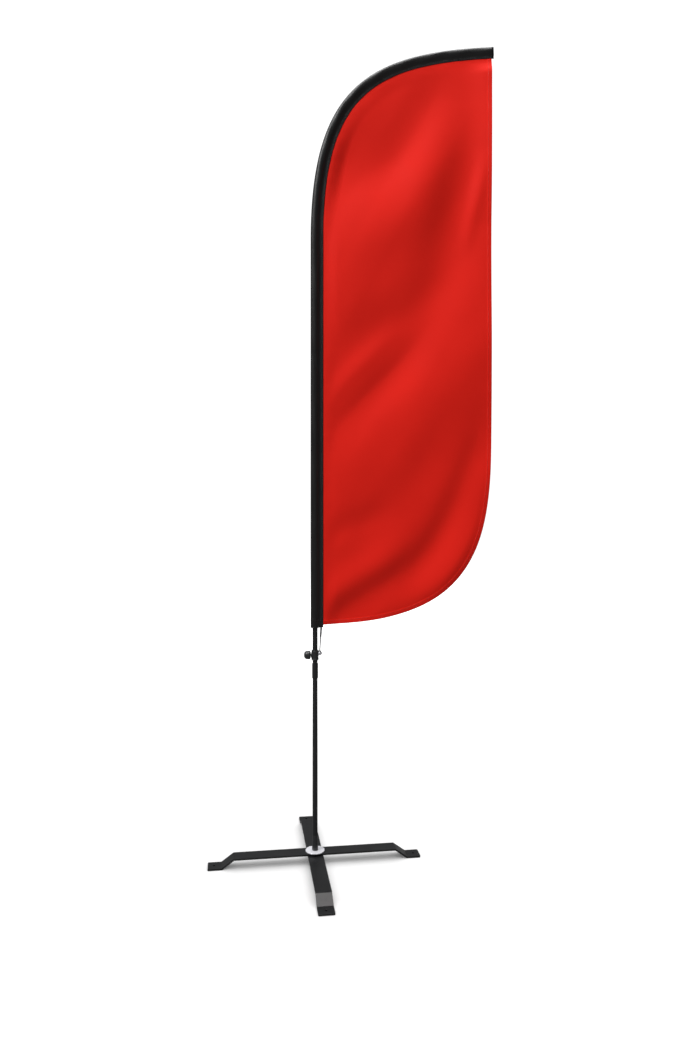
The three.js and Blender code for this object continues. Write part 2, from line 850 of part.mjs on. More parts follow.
// Cross base, turned a little from the flag's plane
const base = new THREE.Group();
base.rotation.z = baseTurn;
flag.add(base);
const lowerBar = crankedBar(lowerBarRise);
lowerBar.rotateZ(Math.PI / 2);
addPiece(base, "lower_bar", lowerBar, steelCoated);
addPiece(base, "upper_bar", crankedBar(upperBarRise), steelCoated);
const foldLevel = lowerBarRise + barThickness;
addPiece(base, "fold_washer", ring(boltHoleRadius, foldWasherRadius, foldLevel, upperBarRise), nylonGrey);
addPiece(base, "flange_disc", ring(boltHoleRadius, discRadius, discBottom, discTop, edgeChamfer), steelZinc);
const nutTop = lowerBarRise - lockWasherThickness;
addPiece(
  base,
  "lock_washer",
  splitRing(boltHoleRadius, lockWasherRadius, lockWasherSplit / 2, nutTop, lowerBarRise),
  steelZinc,
);
const nutBore = spindleRadius + runningGap;
addPiece(base, "base_nut", hexNut(nutAcrossFlats, nutBore, nutTop - nutHeight, nutTop), steelZinc);
addPiece(flag, "spindle", spindle(), steelZinc);
addPiece(flag, "thrust_washer", ring(boltHoleRadius, thrustWasherRadius, shoulderTop, thrustTop), nylonGrey);
const clipBore = spindleRadius - clipGrooveDepth + runningGap;
addPiece(
  flag,
  "retaining_clip",
  splitRing(clipBore, tubeBore - restGap, clipSlot, clipBottom, clipBottom + clipThickness),
  steelZinc,
);
addPiece(flag, "rotator_sleeve", rotatorSleeve(), nylonGrey);

// Pole, from the foot up
addPiece(flag, "pole_foot_ring", footRing(), plasticBlack);
addPiece(flag, "pole_lower", ring(tubeBore, tubeRadius, poleBottom, lowerTubeTop), aluminiumBlack);
const ferruleBottom = lowerTubeTop - ferruleLength / 2;
addPiece(
  flag,
  "pole_ferrule",
  ring(outerBore, ferruleRadius, ferruleBottom, ferruleBottom + ferruleLength, edgeChamfer),
  aluminiumBlack,
);
addPiece(
  flag,
  "pole_spigot",
  ring(spigotRadius - spigotWall, spigotRadius, lowerTubeTop - spigotReach, lowerTubeTop + spigotReach),
  aluminiumBlack,
);
addPiece(flag, "pole_middle", ring(tubeBore, tubeRadius, lowerTubeTop + restGap, middleTubeTop), aluminiumBlack);
addPiece(
  flag,
  "middle_ferrule",
  ring(outerBore, sleevedFerruleRadius, middleTubeTop - sleevedFerruleLength, middleTubeTop),
  aluminiumBlack,
);
addPiece(
  flag,
  "pole_upper",
  ring(upperTubeBore, upperTubeRadius, middleTubeTop - upperTubeInsert, upperTubeTop),
  fibreglassBlack,
);
addPiece(
  flag,
  "upper_ferrule",
  ring(upperTubeRadius + runningGap, upperFerruleRadius, upperTubeTop - sleevedFerruleLength, upperTubeTop),
  aluminiumBlack,
);
addPiece(flag, "pole_tip", tipRod(), fibreglassBlack);
addPiece(flag, "tip_cap", tipCap(), plasticBlack);

// Flag
addPiece(flag, "flag_sleeve", polePocket(), fabricBlack);
addPiece(flag, "sleeve_tip", pocketEnd(), fabricBlack);
addPiece(flag, "banner", banner(), fabricRed);

// Tension collar and elastic cord
addPiece(flag, "tension_collar", tensionCollar(), plasticBlack);
addPiece(flag, "thread_insert", threadInsert(), brass);
addPiece(flag, "clamp_stud", clampStud(), steelZinc);
addPiece(flag, "clamp_knob", clampKnob(), plasticBlack);
addPiece(flag, "cord_post", cordPost(), steelZinc);
addPiece(flag, "post_washer", postWasher(), steelZinc);
addPiece(flag, "cord_hook", cordHook(), plasticBlack);
addPiece(flag, "cord_sheath", cordSheath(), fabricBlack);
addPiece(flag, "tension_cord", tensionCord(), elasticBlack);

// The origin is on the floor under the middle of the whole flag's box
const model = new THREE.Group();
model.add(flag);
const box = new THREE.Box3().setFromObject(model, true);
flag.position.x = -(box.min.x + box.max.x) / 2;
flag.position.y = -(box.min.y + box.max.y) / 2;

export default model;
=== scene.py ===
import bisect
import math
import bmesh
import bpy
import numpy as np
from mathutils import Matrix, Vector, noise
from mathutils.geometry import interpolate_bezier


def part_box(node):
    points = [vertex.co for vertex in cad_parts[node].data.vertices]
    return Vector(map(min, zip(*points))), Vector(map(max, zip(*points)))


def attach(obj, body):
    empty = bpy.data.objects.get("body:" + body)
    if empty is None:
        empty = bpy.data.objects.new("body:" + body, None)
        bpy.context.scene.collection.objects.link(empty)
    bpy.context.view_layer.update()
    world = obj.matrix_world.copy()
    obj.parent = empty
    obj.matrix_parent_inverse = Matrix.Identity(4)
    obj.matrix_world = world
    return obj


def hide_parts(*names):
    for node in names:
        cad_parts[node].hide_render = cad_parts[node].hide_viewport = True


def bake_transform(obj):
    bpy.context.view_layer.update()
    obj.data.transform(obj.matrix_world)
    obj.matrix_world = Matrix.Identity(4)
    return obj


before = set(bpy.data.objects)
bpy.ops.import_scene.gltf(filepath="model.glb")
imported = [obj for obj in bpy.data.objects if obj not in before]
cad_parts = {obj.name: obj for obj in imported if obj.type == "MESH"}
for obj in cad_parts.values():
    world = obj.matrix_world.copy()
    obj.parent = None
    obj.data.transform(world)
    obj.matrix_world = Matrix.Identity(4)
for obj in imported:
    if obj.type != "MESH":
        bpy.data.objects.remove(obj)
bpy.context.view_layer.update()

poleLow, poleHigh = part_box("pole_lower")
poleX = (poleLow.x + poleHigh.x) / 2  # the pole's axis; it stands on y = 0

# camera

view = {"right": 0.103, "away": 2.507, "height": 1.1555, "lens": 28.76, "shiftUp": -0.0592}

cameraData = bpy.data.cameras.new("camera")
cameraData.lens = view["lens"]
cameraData.shift_y = view["shiftUp"]
camera = bpy.data.objects.new("camera", cameraData)
camera.location = (poleX + view["right"], -view["away"], view["height"])
camera.rotation_euler = (math.radians(90), 0, 0)
bpy.context.scene.collection.objects.link(camera)
bpy.context.scene.camera = camera


# shader tools

class Wire:
    def __init__(self, finish, socket):
        self.finish = finish
        self.socket = socket

    def math(self, operation, *others):
        return self.finish.math(operation, self, *others)

    def __add__(self, other):
        return self.finish.math("ADD", self, other)

    def __radd__(self, other):
        return self.finish.math("ADD", other, self)

    def __sub__(self, other):
        return self.finish.math("SUBTRACT", self, other)

    def __rsub__(self, other):
        return self.finish.math("SUBTRACT", other, self)

    def __mul__(self, other):
        return self.finish.math("MULTIPLY", self, other)

    def __rmul__(self, other):
        return self.finish.math("MULTIPLY", other, self)

    def __truediv__(self, other):
        return self.finish.math("DIVIDE", self, other)


class Finish:
    def __init__(self, name, fixed):
        self.material = bpy.data.materials.new(name)
        self.material.use_nodes = True
        self.tree = self.material.node_tree
        self.shader = self.tree.nodes["Principled BSDF"]
        for socket, value in fixed.items():
            self.shader.inputs[socket].default_value = value

    def node(self, kind, settings=None, sockets=None, output=0):
        made = self.tree.nodes.new(kind)
        for name, value in (settings or {}).items():
            if name == "stops":
                self.setStops(made.color_ramp, value)
            else:
                setattr(made, name, value)
        for name, value in (sockets or {}).items():
            if isinstance(value, Wire):
                self.tree.links.new(value.socket, made.inputs[name])
            else:
                made.inputs[name].default_value = value
        return Wire(self, made.outputs[output])

    def setStops(self, ramp, stops):
        while len(ramp.elements) < len(stops):
            ramp.elements.new(1.0)
        for element, (place, shade) in zip(ramp.elements, stops):
            element.position = place
            element.color = (shade, shade, shade, 1.0)

    def math(self, operation, *values):
        return self.node("ShaderNodeMath", {"operation": operation}, dict(enumerate(values)))

    def place(self, stretch=(1, 1, 1)):
        where = self.node("ShaderNodeTexCoord", output="Object")
        return self.node("ShaderNodeMapping", {}, {"Vector": where, "Scale": stretch})

    def cloth(self, stretch=(1, 1, 1)):
        where = self.node("ShaderNodeUVMap", {"uv_map": "cloth"})
        return self.node("ShaderNodeMapping", {}, {"Vector": where, "Scale": stretch})

    def noise(self, where, scale, detail=3.0, roughness=0.5):
        sockets = {"Vector": where, "Scale": scale, "Detail": detail, "Roughness": roughness}
        return self.node("ShaderNodeTexNoise", {}, sockets, "Fac")

    def ramp(self, value, *stops):
        return self.node("ShaderNodeValToRGB", {"stops": stops}, {"Fac": value})

    def axes(self, where):
        parts = self.node("ShaderNodeSeparateXYZ", {}, {0: where}, 0)
        outputs = parts.socket.node.outputs
        return [Wire(self, outputs[i]) for i in range(3)]

    def blend(self, factor, first, second):
        settings = {"data_type": "RGBA", "clamp_factor": True}
        colours = {0: factor, 6: (*first, 1.0), 7: (*second, 1.0)}
        return self.node("ShaderNodeMix", settings, colours, 2)

    def paint(self, socket, value):
        self.tree.links.new(value.socket, self.shader.inputs[socket])

    def relief(self, height, depth, strength=1.0):
        sockets = {"Height": height, "Distance": depth, "Strength": strength}
        self.paint("Normal", self.node("ShaderNodeBump", {}, sockets))


# finishes

def powderCoat():
    finish = Finish("powder coat", {"Specular IOR Level": 0.42})
    peel = finish.noise(finish.place(), 900, 2.0)
    patches = finish.noise(finish.place(), 26, 4.0)
    finish.paint("Base Color", finish.blend(patches, (0.0060, 0.0064, 0.0070), (0.0105, 0.0110, 0.0118)))
    finish.paint("Roughness", finish.ramp(patches, (0.3, 0.30), (0.7, 0.40)))
    finish.relief(peel, 0.00010, 0.4)
    return finish.material


def zincPlate(name, metallic):
    finish = Finish(name, {"Metallic": metallic})
    spread = finish.place()
    x, y, z = finish.axes(spread)
    reach = ((x - poleX) * (x - poleX) + y * y).math("SQRT")
    rings = finish.noise(finish.node("ShaderNodeCombineXYZ", {}, {0: reach, 1: z}), 2600, 2.0)
    bloom = finish.noise(spread, 70, 4.0)
    finish.paint("Base Color", finish.blend(bloom, (0.60, 0.60, 0.64), (0.78, 0.78, 0.82)))
    finish.paint("Roughness", finish.ramp(bloom * 0.6 + rings * 0.4, (0.3, 0.26), (0.7, 0.44)))
    finish.relief(rings, 0.00003, 0.5)
    return finish.material


def anodised():
    finish = Finish("black anodised tube", {"Specular IOR Level": 0.3})
    drawn = finish.noise(finish.place((1, 1, 0.012)), 900, 3.0)
    clouds = finish.noise(finish.place(), 22, 3.0)
    finish.paint("Base Color", finish.blend(clouds, (0.0085, 0.0090, 0.0098), (0.0150, 0.0157, 0.0168)))
    finish.paint("Roughness", finish.ramp(drawn * 0.5 + clouds * 0.5, (0.3, 0.40), (0.7, 0.55)))
    finish.relief(drawn, 0.00003, 0.5)
    return finish.material


def glassFibre():
    finish = Finish("pultruded glass fibre", {"Coat Weight": 0.3, "Coat Roughness": 0.2})
    strands = finish.noise(finish.place((1, 1, 0.02)), 700, 4.0)
    finish.paint("Base Color", finish.blend(strands, (0.008, 0.008, 0.009), (0.022, 0.022, 0.024)))
    finish.paint("Roughness", finish.ramp(strands, (0.3, 0.32), (0.7, 0.50)))
    finish.relief(strands, 0.00005, 0.4)
    return finish.material


def mouldedPlastic():
    finish = Finish("moulded black plastic", {"Specular IOR Level": 0.5})
    grain = finish.noise(finish.place(), 1800, 2.0)
    flow = finish.noise(finish.place(), 60, 3.0)
    finish.paint("Base Color", finish.blend(flow, (0.0085, 0.0090, 0.0098), (0.0150, 0.0157, 0.0168)))
    finish.paint("Roughness", finish.ramp(flow * 0.5 + grain * 0.5, (0.3, 0.34), (0.7, 0.50)))
    finish.relief(grain, 0.00006, 0.5)
    return finish.material


def nylon():
    finish = Finish("natural nylon", {})
    grain = finish.noise(finish.place(), 1200, 2.0)
    finish.paint("Base Color", finish.blend(grain, (0.42, 0.42, 0.40), (0.52, 0.52, 0.50)))
    finish.paint("Roughness", finish.ramp(grain, (0.3, 0.40), (0.7, 0.55)))
    finish.relief(grain, 0.00005, 0.4)
    return finish.material


def turnedBrass():
    finish = Finish("turned brass", {"Metallic": 1.0})
    marks = finish.noise(finish.place((40, 1, 1)), 300, 2.0)
    finish.paint("Base Color", finish.blend(marks, (0.48, 0.29, 0.08), (0.62, 0.41, 0.14)))
    finish.paint("Roughness", finish.ramp(marks, (0.3, 0.25), (0.7, 0.40)))
    finish.relief(marks, 0.00003, 0.4)
    return finish.material


def weave(finish, where, pitch):
    across, along, depth = finish.axes(where)
    turn = 2 * math.pi / pitch
    warp = (across * turn).math("SINE")
    weft = (along * turn).math("SINE")
    return warp * weft


def sleeveCloth():
    finish = Finish("woven black polyester", {"Specular IOR Level": 0.35})
    threads = weave(finish, finish.cloth(), 0.0011)
    # painted sheen: the pocket's base colour runs lighter and darker in long streaks along the pole, standing
    # in for satin gloss streaks; the same streaks also vary the roughness
    sheenStreaks = finish.noise(finish.cloth((1, 0.12, 1)), 90, 4.0)
    finish.paint("Base Color", finish.blend(sheenStreaks, (0.0030, 0.0030, 0.0032), (0.0070, 0.0070, 0.0075)))
    finish.paint("Roughness", finish.ramp(sheenStreaks, (0.3, 0.36), (0.7, 0.52)))
    finish.relief(threads, 0.00007, 0.35)
    return finish.material


def bannerCloth():
    finish = Finish("knitted red polyester", {"Specular IOR Level": 0.12})
    across, depth, up = finish.axes(finish.place())
    ribs = (across * (2 * math.pi / 0.0012)).math("SINE")
    loops = (up * (2 * math.pi / 0.0009) + ribs).math("SINE")
    dye = finish.noise(finish.place(), 9, 4.0)
    finish.paint("Base Color", finish.blend(dye, (0.72, 0.0115, 0.0050), (0.77, 0.0140, 0.0065)))
    finish.paint("Roughness", finish.ramp(dye, (0.3, 0.62), (0.7, 0.72)))
    finish.relief(ribs * 0.6 + loops * 0.4, 0.00006, 0.3)
    return finish.material


def sewingThread(name, dark, light):
    finish = Finish(name, {"Sheen Weight": 0.1})
    twist = finish.noise(finish.place(), 2500, 2.0)
    finish.paint("Base Color", finish.blend(twist, dark, light))
    finish.paint("Roughness", finish.ramp(twist, (0.3, 0.45), (0.7, 0.6)))
    finish.relief(twist, 0.0001, 0.5)
    return finish.material


def braid():
    finish = Finish("braided elastic", {"Sheen Weight": 0.1, "Sheen Roughness": 0.4})
    around, along, depth = finish.axes(finish.cloth())
    turn = 2 * math.pi / 0.0016
    left = ((along + around) * turn).math("SINE")
    right = ((along - around) * turn).math("SINE")
    plait = left.math("MAXIMUM", right)
    finish.paint("Base Color", finish.blend(plait, (0.006, 0.006, 0.0065), (0.020, 0.020, 0.021)))
    finish.paint("Roughness", finish.ramp(plait, (0.0, 0.75), (1.0, 0.5)))
    finish.relief(plait, 0.00025, 0.8)
    return finish.material


powderCoated = powderCoat()
zincPlated = zincPlate("bright zinc plate", 0.9)
dullZinc = zincPlate("dull zinc plate", 0.3)
blackTube = anodised()
fibreglass = glassFibre()
blackPlastic = mouldedPlastic()
natural = nylon()
brass = turnedBrass()
sleeveFabric = sleeveCloth()
bannerFabric = bannerCloth()
blackThread = sewingThread("black thread", (0.012, 0.012, 0.013), (0.030, 0.030, 0.032))
redThread = sewingThread("red thread", (0.45, 0.010, 0.006), (0.62, 0.018, 0.010))
elastic = braid()
print("finishes made")


# tools for pieces

def addPiece(name, bm, material, body, replaces=()):
    mesh = bpy.data.meshes.new(name)
    for face in bm.faces:
        face.smooth = True
    bm.to_mesh(mesh)
    bm.free()
    mesh.materials.append(material)
    piece = bpy.data.objects.new(name, mesh)
    bpy.context.scene.collection.objects.link(piece)
    if body:
        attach(piece, body)
    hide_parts(*replaces)
    return piece


def addModifier(piece, kind, **settings):
    modifier = piece.modifiers.new(kind.lower(), kind)
    for name, value in settings.items():
        setattr(modifier, name, value)
    return modifier


def settle(piece):
    depsgraph = bpy.context.evaluated_depsgraph_get()
    finished = bpy.data.meshes.new_from_object(piece.evaluated_get(depsgraph))
    piece.modifiers.clear()
    finished.name = piece.name
    piece.data = finished


def roundEdges(piece, width, segments=3, angle=35):
    addModifier(piece, "BEVEL", width=width, segments=segments, limit_method="ANGLE",
                angle_limit=math.radians(angle), harden_normals=True)


def cutAway(piece, cutter, how="DIFFERENCE"):
    mesh = bpy.data.meshes.new("cutter")
    cutter.to_mesh(mesh)
    cutter.free()
    tool = bpy.data.objects.new("cutter", mesh)
    bpy.context.scene.collection.objects.link(tool)
    addModifier(piece, "BOOLEAN", operation=how, object=tool, solver="EXACT")
    settle(piece)
    bpy.data.objects.remove(tool)


def turned(profile, steps=72, closed=True):
    # the profile is (radius, height, rounding) for each corner
    bm = bmesh.new()
    corners = [bm.verts.new((radius, 0, height)) for radius, height, _ in profile]
    for before, after in zip(corners, corners[1:]):
        bm.edges.new((before, after))
    if closed:
        bm.edges.new((corners[-1], corners[0]))
    for corner, (_, _, rounding) in zip(corners, profile):
        if rounding:
            bmesh.ops.bevel(bm, geom=[corner], offset=rounding, segments=4, profile=0.5,
                            affect="VERTICES", material=-1)
    bmesh.ops.spin(bm, geom=bm.verts[:] + bm.edges[:], cent=(0, 0, 0), axis=(0, 0, 1),
                   angle=2 * math.pi, steps=steps, use_merge=True)
    bmesh.ops.remove_doubles(bm, verts=bm.verts, dist=1e-6)
    bmesh.ops.recalc_face_normals(bm, faces=bm.faces)
    return bm


def moved(bm, *steps):
    for matrix in steps:
        bmesh.ops.transform(bm, matrix=matrix, verts=bm.verts)
    return bm


onPole = Matrix.Translation((poleX, 0, 0))


def rod(radius, start, end, steps=40):
    start, end = Vector(start), Vector(end)
    bm = bmesh.new()
    bmesh.ops.create_cone(bm, cap_ends=True, segments=steps, radius1=radius, radius2=radius,
                          depth=(end - start).length)
    turn = (end - start).to_track_quat("Z", "Y").to_matrix().to_4x4()
    return moved(bm, turn, Matrix.Translation((start + end) / 2))


class Track:
    # a line of points, read by distance along it
    def __init__(self, points):
        self.points = points
        self.lengths = [0.0]
        for before, after in zip(points, points[1:]):
            self.lengths.append(self.lengths[-1] + (after - before).length)
        self.length = self.lengths[-1]

    def at(self, distance):
        index = bisect.bisect_right(self.lengths, distance) - 1
        index = min(max(index, 0), len(self.points) - 2)
        span = self.lengths[index + 1] - self.lengths[index]
        part = (distance - self.lengths[index]) / span
        return self.points[index].lerp(self.points[index + 1], part)

    def heading(self, distance, reach=0.004):
        return (self.at(distance + reach) - self.at(distance - reach)).normalized()


def sheetGrid(columns, rows, place, wrap=False):
    # place gives a grid corner's point and its spot on the flat cloth
    bm = bmesh.new()
    cloth = bm.loops.layers.uv.new("cloth")
    bmesh.ops.create_grid(bm, x_segments=columns, y_segments=rows, size=0.5)
    spots = {}
    for vert in bm.verts:
        column = round((vert.co.x + 0.5) * columns)
        row = round((vert.co.y + 0.5) * rows)
        vert.co, spots[vert] = place(column, row)
    for face in bm.faces:
        for loop in face.loops:
            loop[cloth].uv = spots[loop.vert]
    if wrap:
        bmesh.ops.remove_doubles(bm, verts=bm.verts, dist=1e-6)
    bm.normal_update()
    return bm


# the pole's line: upright, then one smooth bend over to the tip

poleLine = {
    "bendStart": 1.833, "bendPull": 0.452, "reach": 0.526, "rise": 0.554, "tipPull": 0.352, "tipDrop": 0.015,
}
seam = {"away": 0.0242, "awayAtTip": 0.0210, "tuck": 0.006}

bendStart = Vector((poleX, 0, poleLine["bendStart"]))
tipPoint = bendStart + Vector((poleLine["reach"], 0, poleLine["rise"]))
bendPoints = interpolate_bezier(
    bendStart,
    bendStart + Vector((0, 0, poleLine["bendPull"])),
    tipPoint - Vector((poleLine["tipPull"], 0, poleLine["tipDrop"])),
    tipPoint,
    500,
)
poleTrack = Track([Vector((poleX, 0, 0))] + bendPoints)


def besidePole(distance, across, depth):
    way = poleTrack.heading(distance)
    return poleTrack.at(distance) + Vector((way.z, 0, -way.x)) * across + Vector((0, depth, 0))


def seamAway(distance):
    part = (distance - poleLine["bendStart"]) / (poleTrack.length - poleLine["bendStart"])
    return seam["away"] + (seam["awayAtTip"] - seam["away"]) * min(max(part, 0), 1)


def bendPart(distance):
    return min(max((distance - poleLine["bendStart"]) / (poleTrack.length - poleLine["bendStart"]), 0), 1)


# elastic cord, taut from the pocket's hem down to the hook

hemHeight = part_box("flag_sleeve")[0].z
cordLow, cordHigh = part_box("tension_cord")
cordShape = {"radius": 0.0016, "steps": 24, "sides": 16}
cordTop = Vector((cordHigh.x - cordShape["radius"], cordHigh.y - cordShape["radius"], cordHigh.z))
cordEnd = Vector((cordLow.x + cordShape["radius"], cordLow.y + cordShape["radius"], cordLow.z))
cordPath = [cordTop.lerp(cordEnd, i / cordShape["steps"]) for i in range(cordShape["steps"] + 1)]


def makeCord():
    def place(column, row):
        angle = 2 * math.pi * column / cordShape["sides"]
        out = Vector((math.cos(angle), math.sin(angle), 0)) * cordShape["radius"]
        middle = cordPath[cordShape["steps"] - row]
        return middle + out, (cordShape["radius"] * angle, middle.z)
    bm = sheetGrid(cordShape["sides"], cordShape["steps"], place, wrap=True)
    bmesh.ops.holes_fill(bm, edges=[edge for edge in bm.edges if edge.is_boundary])
    cord = addPiece("elastic_cord", bm, elastic, None, ["tension_cord"])
    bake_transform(cord)
    return cord


makeCord()


def makeSheath():
    low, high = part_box("cord_sheath")
    radius = 0.0027
    bm = turned([
        (0.0019, low.z, 0),
        (radius - 0.0002, low.z, 0.0002),
        (radius, low.z + 0.0005, 0.0003),
        (radius - 0.0003, low.z + 0.0035, 0.0008),
        (radius, low.z + 0.0070, 0.0008),
        (radius, high.z - 0.0015, 0.0005),
        (radius - 0.0006, high.z, 0.0003),
        (0.0019, high.z, 0),
    ], 32)
    lean = (cordTop - cordEnd) / (cordTop.z - cordEnd.z)
    shear = Matrix((
        (1, 0, lean.x, cordTop.x - lean.x * cordTop.z),
        (0, 1, lean.y, cordTop.y - lean.y * cordTop.z),
        (0, 0, 1, 0),
        (0, 0, 0, 1),
    ))
    moved(bm, shear)
    addPiece("cord_sheath_cover", bm, blackPlastic, "pole", ["cord_sheath"])


makeSheath()
print("cord made")


# banner

banner = {
    "columns": 92, "rows": 264, "thickness": 0.0007, "aboveHem": 0.006,
    "flyEdge": 0.5206, "cornerRun": 0.713, "cornerRise": 0.664, "cornerPower": 3.65,
    "calm": 0.044, "hemWidth": 0.013, "hemThickness": 0.0016,
}
# soft ridges and hollows; each follows a line of (x from the pole, z, height towards the front in mm)
# that runs up to the right, with its reach to the upper and to the lower side
folds = [
    ([(0.03, 1.96, -6), (0.12, 2.02, -13), (0.22, 2.08, -15), (0.30, 2.18, -9), (0.38, 2.33, 0)],
     (0.110, 0.078)),
    ([(0.04, 1.52, 4), (0.09, 1.66, 8), (0.14, 1.78, 10), (0.21, 1.87, 12), (0.30, 1.96, 9), (0.37, 2.08, 8),
      (0.42, 2.24, 0)], (0.085, 0.080)),
    ([(0.04, 1.43, -3), (0.15, 1.54, -6), (0.27, 1.60, -7), (0.35, 1.69, -12), (0.40, 1.84, -15),
      (0.435, 2.02, -9), (0.48, 2.22, 0)], (0.080, 0.085)),
    ([(0.04, 1.36, 3), (0.10, 1.43, 4), (0.18, 1.51, 3), (0.27, 1.59, 0)], (0.034, 0.028)),
    ([(0.04, 1.24, -3), (0.13, 1.34, -7), (0.25, 1.46, -7), (0.34, 1.57, -2), (0.38, 1.63, 0)],
     (0.036, 0.060)),
    ([(0.04, 1.03, 0), (0.19, 1.18, 6), (0.31, 1.34, 8), (0.42, 1.47, 8), (0.53, 1.59, 6)], (0.110, 0.120)),
    ([(0.04, 0.96, -3), (0.13, 1.00, -3), (0.24, 1.05, 0)], (0.040, 0.036)),
    ([(0.04, 0.78, 7), (0.16, 0.855, 6), (0.26, 0.925, 5), (0.33, 1.01, 4), (0.40, 1.14, 3), (0.47, 1.30, 0)],
     (0.050, 0.042)),
    ([(0.04, 0.70, -6), (0.16, 0.785, -6), (0.28, 0.855, -5), (0.36, 0.945, -5), (0.43, 1.08, -5),
      (0.49, 1.27, -3), (0.52, 1.38, 0)], (0.040, 0.060)),
    ([(0.22, 0.745, 2), (0.36, 0.82, 8), (0.445, 0.94, 8), (0.485, 1.08, 3), (0.50, 1.20, 0)],
     (0.058, 0.031)),
    ([(0.53, 1.88, 0), (0.53, 2.00, 8), (0.53, 2.15, 13), (0.53, 2.40, 13)], (0.060, 0.060)),
    ([(0.44, 1.78, 0), (0.46, 1.88, 3), (0.485, 1.99, 4), (0.50, 2.10, 0)], (0.022, 0.020)),
]

bottomHeight = hemHeight + banner["aboveHem"]
cornerX = poleX + banner["flyEdge"] - banner["cornerRun"]
cornerZ = bottomHeight + banner["cornerRise"]


def makeEdges():
    power = 2 / banner["cornerPower"]
    startX = poleX + seam["away"] - seam["tuck"]
    lower = []
    for step in range(601):
        angle = math.pi / 2 * (1 - step / 600)
        x = cornerX + banner["cornerRun"] * math.cos(angle) ** power
        if x > startX:
            lower.append(Vector((x, 0, cornerZ - banner["cornerRise"] * math.sin(angle) ** power)))
    lower.insert(0, Vector((startX, 0, bottomHeight)))
    seamLine = []
    for step in range(801):
        distance = bottomHeight + (poleTrack.length - bottomHeight) * step / 800
        point = besidePole(distance, seamAway(distance) - seam["tuck"], 0)
        if point.x < poleX + banner["flyEdge"]:
            seamLine.append(point)
    top = Vector((poleX + banner["flyEdge"], 0, seamLine[-1].z))
    return Track(lower + [top]), Track(seamLine + [top])


freeTrack, seamTrack = makeEdges()
seamSpots = np.array([seamTrack.at(seamTrack.length * i / 400).to_tuple() for i in range(401)])


def smoothLine(points):
    points = [Vector(point) for point in points[:1] + points + points[-1:]]
    line = []
    for before, start, end, after in zip(points, points[1:], points[2:], points[3:]):
        line += interpolate_bezier(start, start + (end - before) / 6, end - (after - start) / 6, end, 7)[:-1]
    return line + [end]


def foldHeight(x, z):
    x, z = np.asarray(x, float) - poleX, np.asarray(z, float)
    total = np.zeros(x.shape)
    for points, reaches in folds:
        line = smoothLine(points)
        nearest = np.full(x.shape, 1e9)
        side = np.zeros(x.shape)
        height = np.zeros(x.shape)
        for start, end in zip(line, line[1:]):
            way = end - start
            part = ((x - start.x) * way.x + (z - start.y) * way.y) / way.xy.length_squared
            part = np.clip(part, 0, 1)
            gapX, gapZ = x - start.x - part * way.x, z - start.y - part * way.y
            gap = np.hypot(gapX, gapZ)
            closer = gap < nearest
            nearest = np.where(closer, gap, nearest)
            side = np.where(closer, way.x * gapZ - way.y * gapX, side)
            height = np.where(closer, start.z + part * way.z, height)
        reach = np.where(side > 0, reaches[0], reaches[1])
        total += height * 0.001 * np.exp(-(nearest / reach) ** 2)
    return total


def bannerDepth(x, z):
    x, z = np.atleast_1d(x).astype(float), np.atleast_1d(z).astype(float)
    gap = np.full(x.shape, 1e9)
    for spot in seamSpots:
        gap = np.minimum(gap, np.hypot(x - spot[0], z - spot[2]))
    free = np.clip((gap - seam["tuck"]) / banner["calm"], 0, 1)
    free = free * free * (3 - 2 * free)
    ripple = np.array([noise.noise(Vector((a * 9 - b * 5, a * 2 + b * 3, 0.3))) for a, b in zip(x, z)])
    pucker = np.array([noise.noise(Vector((a * 30 + b * 30, b * 40, 2.3))) for a, b in zip(x, z)])
    nearSeam = np.exp(-((gap - 0.016) / 0.014) ** 2)
    return -(foldHeight(x, z) + 0.0035 * ripple) * free - 0.0006 * pucker * nearSeam


def makeBanner():
    columns, rows = banner["columns"], banner["rows"]
    freeSplit = freeTrack.length * 0.40
    seamSplit = seamTrack.length * 0.79

    def outline(track, start, end, part):
        return track.at(start + (end - start) * part)

    def spot(across, up):
        bottom = outline(freeTrack, 0, freeSplit, across)
        fly = outline(freeTrack, freeSplit, freeTrack.length, up)
        pole = outline(seamTrack, 0, seamSplit, up)
        top = outline(seamTrack, seamSplit, seamTrack.length, across)
        corners = [
            freeTrack.at(0), freeTrack.at(freeSplit), seamTrack.at(seamSplit), seamTrack.at(seamTrack.length),
        ]
        sides = pole.lerp(fly, across) + bottom.lerp(top, up)
        return sides - corners[0].lerp(corners[1], across).lerp(corners[2].lerp(corners[3], across), up)

    def place(column, row):
        point = spot(column / columns, row / rows)
        return point, (point.x, point.z)

    bm = sheetGrid(columns, rows, place)
    verts = bm.verts[:]
    depths = bannerDepth([vert.co.x for vert in verts], [vert.co.z for vert in verts])
    for vert, depth in zip(verts, depths):
        vert.co.y = depth
    piece = addPiece("banner_cloth", bm, bannerFabric, "pole", ["banner"])
    addModifier(piece, "SOLIDIFY", thickness=banner["thickness"], offset=0)
    return piece


def makeHem():
    rows = 380
    columns = 3

    def place(column, row):
        distance = freeTrack.length * row / rows
        way = freeTrack.heading(distance)
        inward = Vector((-way.z, 0, way.x)) * banner["hemWidth"] * column / columns
        point = freeTrack.at(distance) + inward
        return point, (point.x, point.z)

    bm = sheetGrid(columns, rows, place)
    verts = bm.verts[:]
    depths = bannerDepth([vert.co.x for vert in verts], [vert.co.z for vert in verts])
    for vert, depth in zip(verts, depths):
        vert.co.y = depth
    piece = addPiece("banner_hem", bm, bannerFabric, "pole")
    addModifier(piece, "SOLIDIFY", thickness=banner["hemThickness"], offset=0)
    addModifier(piece, "BEVEL", width=0.0004, segments=2, limit_method="ANGLE")
    return piece


# "proud" is the share of a stitch's height from the cloth's face to its middle
stitch = {"pitch": 0.0034, "length": 0.0024, "width": 0.0006, "height": 0.0004, "proud": 0.2, "endGap": 0.01}


